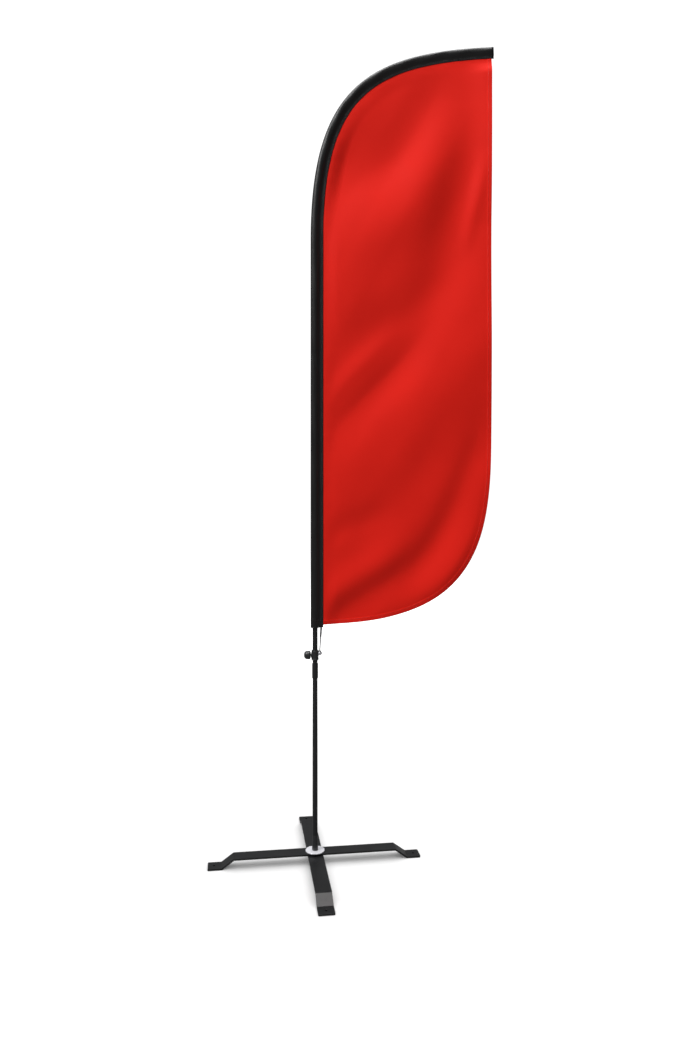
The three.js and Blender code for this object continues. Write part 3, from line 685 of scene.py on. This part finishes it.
def sewRow(bm, length, place):
    count = int(length / stitch["pitch"])
    size = Matrix.Diagonal((stitch["length"], stitch["width"], stitch["height"], 1))
    for i in range(count):
        point, way, up = place((i + 0.5) * length / count)
        side = up.cross(way).normalized()
        turn = Matrix((way, side, up)).transposed().to_4x4()
        bmesh.ops.create_cube(bm, size=1, matrix=Matrix.Translation(point) @ turn @ size)


def makeHemStitches():
    bm = bmesh.new()
    inset = banner["hemWidth"] - 0.0025
    spots = []
    for step in range(701):
        distance = freeTrack.length * step / 700
        way = freeTrack.heading(distance)
        spots.append(freeTrack.at(distance) + Vector((-way.z, 0, way.x)) * inset)
    depths = bannerDepth([spot.x for spot in spots], [spot.z for spot in spots])
    for spot, depth in zip(spots, depths):
        spot.y = depth
    line = Track(spots)
    for side in (-1, 1):
        off = side * (banner["hemThickness"] / 2 + stitch["height"] * stitch["proud"])

        def place(distance):
            distance += stitch["endGap"]
            way = line.heading(distance, 0.002)
            up = Vector((0, side, 0)) - way * way.y * side
            return line.at(distance) + Vector((0, off, 0)), way, up.normalized()
        sewRow(bm, line.length - 2 * stitch["endGap"], place)
    return addPiece("hem_stitches", bm, redThread, "pole")


cloth = makeBanner()
hem = makeHem()
hemStitches = makeHemStitches()
print("banner made")


# pole pocket

pocket = {
    "nose": 0.0131, "halfDepth": 0.0104, "halfDepthAtTip": 0.0060, "flap": 0.0165, "flapDepth": 0.0011,
    "wall": 0.0006, "around": 56, "step": 0.008, "hemBand": 0.026, "hemStand": 0.0005, "corner": 0.004,
    "creaseDepth": 0.0007, "creasePitch": 0.084, "twistAt": 1.465, "twistReach": 0.035, "twistDepth": 0.0016,
}


def halfOutline(halfDepth):
    nose, flap, flat = pocket["nose"], pocket["flap"], pocket["flapDepth"]
    front = interpolate_bezier(Vector((-nose, 0)), Vector((-nose, halfDepth * 0.56)),
                               Vector((-nose * 0.6, halfDepth)), Vector((-0.001, halfDepth)), 14)
    back = interpolate_bezier(Vector((-0.001, halfDepth)), Vector((0.0075, halfDepth)),
                              Vector((0.010, flat)), Vector((flap, flat)), 14)
    edge = [Vector((flap + (seam["away"] - flap) * i / 4, flat)) for i in range(1, 5)]
    return Track(front + back[1:] + edge)


upright = halfOutline(pocket["halfDepth"])
slender = halfOutline(pocket["halfDepthAtTip"])


def pocketSurface(part, distance):
    # part runs 0 to 1 from the seam round the back and the nose to the seam
    q = abs(2 * part - 1)
    bend = bendPart(distance)
    spot = upright.at(upright.length * q).lerp(slender.at(slender.length * q), bend)
    side = 1 if part < 0.5 else -1
    across = spot.x if spot.x < 0 else spot.x * seamAway(distance) / seam["away"]
    depth = spot.y * side
    soft = math.sin(math.pi * q)
    slant = distance / pocket["creasePitch"] + across * 22
    crease = math.sin(2 * math.pi * slant) * (0.25 + 0.75 * bend ** 0.3) * soft
    drift = noise.noise(Vector((across * 60 + 3 * side, depth * 60, distance * 9)))
    fine = noise.noise(Vector((across * 110, side * 5, distance * 30 + across * 300)))
    push = pocket["creaseDepth"] * (crease + 1.1 * drift * soft + 0.35 * fine * soft)
    twist = math.exp(-((distance - pocket["twistAt"]) / pocket["twistReach"]) ** 2)
    push -= pocket["twistDepth"] * twist * soft * max(0, math.sin(2 * math.pi * (distance * 9 + across * 30)))
    return across, depth + side * push


def pocketDistances():
    hem, end = hemHeight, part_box("flag_sleeve")[1].z
    end = poleTrack.length
    band = pocket["hemBand"]
    marks = [0, 0.0012, 0.003, 0.007, 0.012, 0.018, band - 0.0015, band, band + 0.0009, band + 0.003]
    rows = int((end - hem - band - 0.003) / pocket["step"])
    rest = [hem + band + 0.003 + (end - hem - band - 0.003) * i / rows for i in range(1, rows + 1)]
    return [hem + mark for mark in marks] + rest


def hemPuff(part):
    return math.sin(math.pi * abs(2 * part - 1)) ** 0.3


def makePocket():
    distances = pocketDistances()
    around = pocket["around"]
    hem = distances[0]

    def place(column, row):
        part, distance = column / around, distances[row]
        across, depth = pocketSurface(part, distance)
        inBand = distance < hem + pocket["hemBand"] + 0.0004
        if inBand:
            depth += math.copysign(pocket["hemStand"], depth if abs(depth) > 1e-6 else 1) * hemPuff(part)
        if distance < hem + 0.0006:
            depth *= 0.985
        lift = max(0, abs(across - 0.0055) - (0.0187 - pocket["corner"])) / pocket["corner"]
        rise = pocket["corner"] * (1 - math.sqrt(max(0, 1 - min(lift, 1) ** 2))) * 0.7
        low = distance + rise * max(0, 1 - (distance - hem) / 0.02)
        return besidePole(low, across, depth), (part * 2 * upright.length, distance)

    bm = sheetGrid(around, len(distances) - 1, place)
    bmesh.ops.remove_doubles(bm, verts=bm.verts, dist=1e-6)
    piece = addPiece("pole_pocket", bm, sleeveFabric, "pole", ["flag_sleeve", "sleeve_tip"])
    addModifier(piece, "SOLIDIFY", thickness=pocket["wall"], offset=-1)
    return piece


def makePocketEnd():
    end = poleTrack.length
    around = pocket["around"]
    rings = 6

    def place(column, row):
        across, depth = pocketSurface(column / around, end)
        middle = seam["awayAtTip"] * 0.3
        inward = 1 - row / rings
        distance = end - 0.0002 + 0.0012 * (1 - inward)
        point = besidePole(distance, middle + (across - middle) * inward * 0.995, depth * inward * 0.995)
        return point, (across * inward, depth * inward)

    bm = sheetGrid(around, rings, place)
    bmesh.ops.remove_doubles(bm, verts=bm.verts, dist=1e-6)
    piece = addPiece("pocket_end", bm, sleeveFabric, "pole")
    addModifier(piece, "SOLIDIFY", thickness=pocket["wall"], offset=-1)
    return piece


def makePocketStitches():
    bm = bmesh.new()
    hem, end = hemHeight + 0.006, poleTrack.length - 0.006
    for side in (-1, 1):
        for inset in (0.0028, 0.0062):
            def place(distance):
                distance += hem
                off = side * (pocket["flapDepth"] + stitch["height"] * stitch["proud"])
                point = besidePole(distance, seamAway(distance) - inset, off)
                return point, poleTrack.heading(distance), Vector((0, side, 0))
            sewRow(bm, end - hem, place)
    return addPiece("seam_stitches", bm, blackThread, "pole")


def makeHemRow():
    bm = bmesh.new()
    height = hemHeight + pocket["hemBand"] - 0.004
    spots = []
    for step in range(121):
        across, depth = pocketSurface(step / 120, height)
        out = math.copysign(pocket["hemStand"] + 0.0001, depth)
        spots.append(besidePole(height, across, depth + out * hemPuff(step / 120)))
    line = Track(spots)

    def place(distance):
        way = line.heading(distance, 0.0008)
        return line.at(distance), way, way.cross(Vector((0, 0, 1)))
    sewRow(bm, line.length, place)
    return addPiece("pocket_hem_stitches", bm, blackThread, "pole")


pocketCloth = makePocket()
pocketEnd = makePocketEnd()
seamStitches = makePocketStitches()
pocketHemStitches = makeHemRow()
print("pocket made")


# base: two bent bars

bars = {
    "length": 0.625, "width": 0.045, "thickness": 0.005, "foot": 0.040, "crank": 0.035, "bendRadius": 0.007,
    "bendSteps": 10, "corner": 0.004, "edge": 0.0007, "pegHole": 0.0035, "pegFromEnd": 0.018,
    "spindleHole": 0.0053, "turn": math.radians(8),
}


def pull(bm, edge, shift):
    made = bmesh.ops.extrude_edge_only(bm, edges=[edge])["geom"]
    bmesh.ops.translate(bm, vec=shift, verts=[part for part in made if isinstance(part, bmesh.types.BMVert)])
    return next(part for part in made if isinstance(part, bmesh.types.BMEdge))


def curl(bm, edge, centre, angle):
    made = bmesh.ops.spin(bm, geom=[edge, *edge.verts], cent=centre, axis=(0, 1, 0), angle=angle,
                          steps=bars["bendSteps"])["geom_last"]
    return next(part for part in made if isinstance(part, bmesh.types.BMEdge))


def makeBar(name, node, turn):
    low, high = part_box(node)
    half = bars["thickness"] / 2
    rise = high.z - low.z - bars["thickness"]
    slope = math.atan2(rise, bars["crank"])
    radius = bars["bendRadius"]
    setback = radius * math.tan(slope / 2)
    end = bars["length"] / 2
    crankTop = end - bars["foot"] - bars["crank"]
    bm = bmesh.new()
    ends = [bm.verts.new((end, side * bars["width"] / 2, half)) for side in (-1, 1)]
    edge = bm.edges.new(ends)
    edge = pull(bm, edge, (-(bars["foot"] - setback), 0, 0))
    edge = curl(bm, edge, (end - bars["foot"] + setback, 0, half + radius), slope)
    slant = math.hypot(rise, bars["crank"]) - 2 * setback
    edge = pull(bm, edge, (-slant * math.cos(slope), 0, slant * math.sin(slope)))
    edge = curl(bm, edge, (crankTop - setback, 0, rise + half - radius), -slope)
    pull(bm, edge, (-(crankTop - setback), 0, 0))
    bmesh.ops.mirror(bm, geom=bm.verts[:] + bm.edges[:] + bm.faces[:], axis="X", merge_dist=1e-5)
    bmesh.ops.remove_doubles(bm, verts=bm.verts, dist=1e-6)
    bmesh.ops.recalc_face_normals(bm, faces=bm.faces)
    corners = [vert for vert in bm.verts if abs(abs(vert.co.x) - end) < 1e-6]
    bmesh.ops.bevel(bm, geom=corners, offset=bars["corner"], segments=6, profile=0.5, affect="VERTICES",
                    material=-1)
    place = Matrix.Translation((poleX, 0, 0)) @ Matrix.Rotation(turn, 4, "Z")
    moved(bm, place)
    body = "base" if node == "lower_bar" else "folding_bar"
    piece = addPiece(name, bm, powderCoated, body, [node])
    addModifier(piece, "SOLIDIFY", thickness=bars["thickness"], offset=0, use_even_offset=True)
    settle(piece)
    cutter = rod(bars["spindleHole"], (0, 0, -0.01), (0, 0, 0.06), 48)
    for side in (-1, 1):
        hole = side * (end - bars["pegFromEnd"])
        peg = rod(bars["pegHole"], (hole, 0, -0.01), (hole, 0, 0.02), 40)
        mesh = bpy.data.meshes.new("peg")
        peg.to_mesh(mesh)
        cutter.from_mesh(mesh)
    moved(cutter, place)
    cutAway(piece, cutter)
    roundEdges(piece, bars["edge"])
    return piece


makeBar("bent_lower_bar", "lower_bar", bars["turn"] + math.pi / 2)
makeBar("bent_upper_bar", "upper_bar", bars["turn"])
print("bars made")


# turned pieces of the base and the pole

def ringPiece(name, node, bore, radius, rounding, material, body, steps=72):
    low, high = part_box(node)
    bm = turned([
        (bore, low.z, 0.0001),
        (radius, low.z, rounding),
        (radius, high.z, rounding),
        (bore, high.z, 0.0001),
    ], steps)
    return addPiece(name, moved(bm, onPole), material, body, [node])


ringPiece("flange", "flange_disc", 0.0053, 0.028, 0.0008, dullZinc, "base", 96)
ringPiece("fold_spacer", "fold_washer", 0.0053, 0.018, 0.0002, natural, "base")
ringPiece("lower_pole", "pole_lower", 0.0061, 0.0075, 0.0002, blackTube, "pole")
ringPiece("middle_pole", "pole_middle", 0.0061, 0.0075, 0.0002, blackTube, "pole")
ringPiece("joint_sleeve", "pole_ferrule", 0.0076, 0.0090, 0.0005, blackTube, "pole")


def makeFootRing():
    low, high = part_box("pole_foot_ring")
    bm = turned([
        (0.0076, low.z, 0),
        (0.0088, low.z, 0.0004),
        (0.0088, low.z + 0.017, 0.003),
        (0.0081, high.z - 0.0006, 0.0003),
        (0.0076, high.z, 0),
    ])
    addPiece("foot_ring", moved(bm, onPole), blackPlastic, "pole", ["pole_foot_ring"])


makeFootRing()


# tension collar, its knob, and what holds the cord

collar = {
    "bore": 0.0076, "radius": 0.0110, "waist": 0.0104, "boss": 0.0080, "lug": 0.0060, "lugThickness": 0.0060,
    "rim": 0.0030, "edge": 0.0005,
}
postLow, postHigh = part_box("cord_post")
postX, postZ = (postLow.x + postHigh.x) / 2, (postLow.z + postHigh.z) / 2
knobLow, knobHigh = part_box("clamp_knob")
knobZ = (knobLow.z + knobHigh.z) / 2


def makeCollar():
    low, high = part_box("tension_collar")
    radius, waist, rim = collar["radius"], collar["waist"], collar["rim"]
    bm = turned([
        (0, low.z, 0),
        (radius, low.z, 0.0012),
        (radius, low.z + rim, 0.0003),
        (waist, low.z + rim + 0.0006, 0.0003),
        (waist, high.z - rim - 0.0006, 0.0003),
        (radius, high.z - rim, 0.0003),
        (radius, high.z, 0.0012),
        (0, high.z, 0),
    ], closed=False)
    piece = addPiece("collar_body", moved(bm, onPole), blackPlastic, "collar",
                     ["tension_collar"])
    cutAway(piece, rod(collar["boss"], (poleX, 0, knobZ), (low.x, 0, knobZ), 64), "UNION")
    thick = collar["lugThickness"] / 2
    lug = rod(collar["lug"], (postX, -thick, postZ), (postX, thick, postZ), 48)
    cutAway(piece, lug, "UNION")
    arm = bmesh.new()
    reach = postX - poleX
    size = Matrix.Diagonal((reach, thick * 2, collar["lug"] * 1.9, 1))
    bmesh.ops.create_cube(arm, size=1, matrix=Matrix.Translation((poleX + reach / 2, 0, postZ)) @ size)
    cutAway(piece, arm, "UNION")
    cutAway(piece, rod(collar["bore"], (poleX, 0, low.z - 0.01), (poleX, 0, high.z + 0.01), 72))
    cutAway(piece, rod(0.0046, (low.x - 0.01, 0, knobZ), (poleX, 0, knobZ), 40))
    cutAway(piece, rod(0.0021, (postX, -0.01, postZ), (postX, 0.01, postZ), 32))
    roundEdges(piece, collar["edge"], 3, 40)
    return piece


def makeKnob():
    length = knobHigh.x - knobLow.x
    bm = turned([
        (0, 0.0121, 0),
        (0.0031, 0.0121, 0),
        (0.0031, 0, 0.0002),
        (0.0092, 0, 0.0006),
        (0.0104, 0.0007, 0.0005),
        (0.0128, 0.0022, 0.0008),
        (0.0128, length - 0.0110, 0.0030),
        (0.0112, length - 0.0040, 0.0040),
        (0.0070, length - 0.0009, 0.0030),
        (0, length, 0),
    ], closed=False)
    turn = Matrix.Translation((knobHigh.x, 0, knobZ)) @ Matrix.Rotation(math.radians(-90), 4, "Y")
    addPiece("grip_knob", moved(bm, turn), blackPlastic, "knob", ["clamp_knob"])


def makePost():
    length = postHigh.y - postLow.y
    headRadius = (postHigh.x - postLow.x) / 2
    head = length - 0.0022
    bm = turned([
        (0, 0, 0),
        (0.0020, 0, 0.0004),
        (0.0020, head, 0),
        (headRadius, head, 0.0002),
        (headRadius, head + 0.0010, 0.0004),
        (headRadius * 0.72, head + 0.0018, 0.0008),
        (0, length, 0),
    ], 48, closed=False)
    turn = Matrix.Translation((postX, postHigh.y, postZ)) @ Matrix.Rotation(math.radians(90), 4, "X")
    addPiece("hook_post", moved(bm, turn), zincPlated, "collar", ["cord_post"])


def makeFrom(name, node, width, material, body):
    bm = bmesh.new()
    bm.from_mesh(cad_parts[node].data)
    bmesh.ops.remove_doubles(bm, verts=bm.verts, dist=1e-5)
    bmesh.ops.dissolve_limit(bm, angle_limit=math.radians(2), verts=bm.verts, edges=bm.edges)
    piece = addPiece(name, bm, material, body, [node])
    roundEdges(piece, width, 3, 32)
    return piece


makeCollar()
makeKnob()
makePost()
makeFrom("hook", "cord_hook", 0.0005, blackPlastic, "collar")
makeFrom("hex_nut", "base_nut", 0.0005, zincPlated, "base")
makeFrom("split_washer", "lock_washer", 0.0002, zincPlated, "base")
print("fittings made")

kept = {
    zincPlated: ["spindle", "retaining_clip", "post_washer"],
    natural: ["thrust_washer", "rotator_sleeve"],
    blackTube: ["pole_spigot", "middle_ferrule", "upper_ferrule", "clamp_stud"],
    fibreglass: ["pole_upper", "pole_tip"],
    blackPlastic: ["tip_cap"],
    brass: ["thread_insert"],
}
for material, names in kept.items():
    for name in names:
        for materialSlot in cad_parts[name].material_slots:
            materialSlot.material = material


# floor, world and lights

studio = {
    "floorHalf": 9, "floorShade": 0.80, "floorBounce": 0.30, "ambient": 0.16, "backdrop": 1.1,
    "glowNear": 0.10, "glowFar": 0.72, "glowStart": 0.5, "glowEnd": 2.4,
}
lights = {
    "key": {"at": (-4.6, -3.5, 6.7), "towards": (0.1, 0, 1.5), "size": 2.4, "power": 605},
    "overhead": {"at": (-0.3, 0.4, 7.0), "towards": (-0.1, 0, 0), "size": 4.4, "power": 520},
    "ceiling": {"at": (0, 0, 4.5), "towards": (0, 0, 0), "size": 14, "power": 900},
    "front": {"at": (0.8, -4.2, 1.6), "towards": (0, 0, 1.0), "size": 1.2, "power": 3},
}


def makeFloor():
    # brighter to the camera than to the light that bounces off it, and glowing faintly towards its edge
    bm = bmesh.new()
    bmesh.ops.create_grid(bm, x_segments=1, y_segments=1, size=studio["floorHalf"])
    shade, bounce = studio["floorShade"], studio["floorBounce"]
    finish = Finish("studio floor", {
        "Roughness": 0.9, "Specular IOR Level": 0.1, "Base Color": (shade, shade, shade, 1),
        "Emission Strength": 1.0,
    })
    x, y, z = finish.axes(finish.place())
    reach = (x * x + y * y).math("SQRT")
    rise = (reach - studio["glowStart"]) / (studio["glowEnd"] - studio["glowStart"])
    ends = {"Value": rise, "To Min": studio["glowNear"], "To Max": studio["glowFar"]}
    glow = finish.node("ShaderNodeMapRange", {"interpolation_type": "SMOOTHSTEP"}, ends)
    finish.paint("Emission Color", glow)
    plain = finish.node("ShaderNodeBsdfDiffuse", {}, {"Color": (bounce, bounce, bounce, 1)})
    seen = finish.node("ShaderNodeLightPath", output="Is Camera Ray")
    lit = Wire(finish, finish.shader.outputs[0])
    both = finish.node("ShaderNodeMixShader", {}, {0: seen, 1: plain, 2: lit})
    result = finish.tree.nodes["Material Output"]
    finish.tree.links.new(both.socket, result.inputs["Surface"])
    mesh = bpy.data.meshes.new("floor")
    bm.to_mesh(mesh)
    bm.free()
    mesh.materials.append(finish.material)
    floor = bpy.data.objects.new("floor", mesh)
    bpy.context.scene.collection.objects.link(floor)


def makeWorld():
    world = bpy.data.worlds.new("studio")
    bpy.context.scene.world = world
    world.use_nodes = True
    tree = world.node_tree
    tree.nodes.clear()
    ray = tree.nodes.new("ShaderNodeLightPath")
    seen = tree.nodes.new("ShaderNodeMapRange")
    seen.inputs["To Min"].default_value = studio["ambient"]
    seen.inputs["To Max"].default_value = studio["backdrop"]
    backdrop = tree.nodes.new("ShaderNodeBackground")
    result = tree.nodes.new("ShaderNodeOutputWorld")
    tree.links.new(ray.outputs["Is Camera Ray"], seen.inputs["Value"])
    tree.links.new(seen.outputs[0], backdrop.inputs["Strength"])
    tree.links.new(backdrop.outputs[0], result.inputs["Surface"])
    backdrop.inputs["Color"].default_value = (1, 1, 1, 1)


def makeLight(name, light):
    data = bpy.data.lights.new(name, "AREA")
    data.shape = "SQUARE"
    data.size = light["size"]
    data.energy = light["power"]
    lamp = bpy.data.objects.new(name, data)
    lamp.location = light["at"]
    lamp.rotation_euler = (Vector(light["towards"]) - lamp.location).to_track_quat("-Z", "Y").to_euler()
    lamp.visible_camera = False
    bpy.context.scene.collection.objects.link(lamp)
    return lamp


def linkFloor(lamp, state):
    # INCLUDE lights the floor alone, EXCLUDE lights everything but the floor
    group = bpy.data.collections.new(lamp.name + " and the floor")
    group.objects.link(bpy.data.objects["floor"])
    group.collection_objects[0].light_linking.link_state = state
    lamp.light_linking.receiver_collection = group


makeFloor()
makeWorld()
lamps = {name: makeLight(name, light) for name, light in lights.items()}
linkFloor(lamps["key"], "EXCLUDE")
linkFloor(lamps["overhead"], "EXCLUDE")
linkFloor(lamps["ceiling"], "INCLUDE")
bpy.context.scene.view_settings.view_transform = "Standard"
print("studio lit")
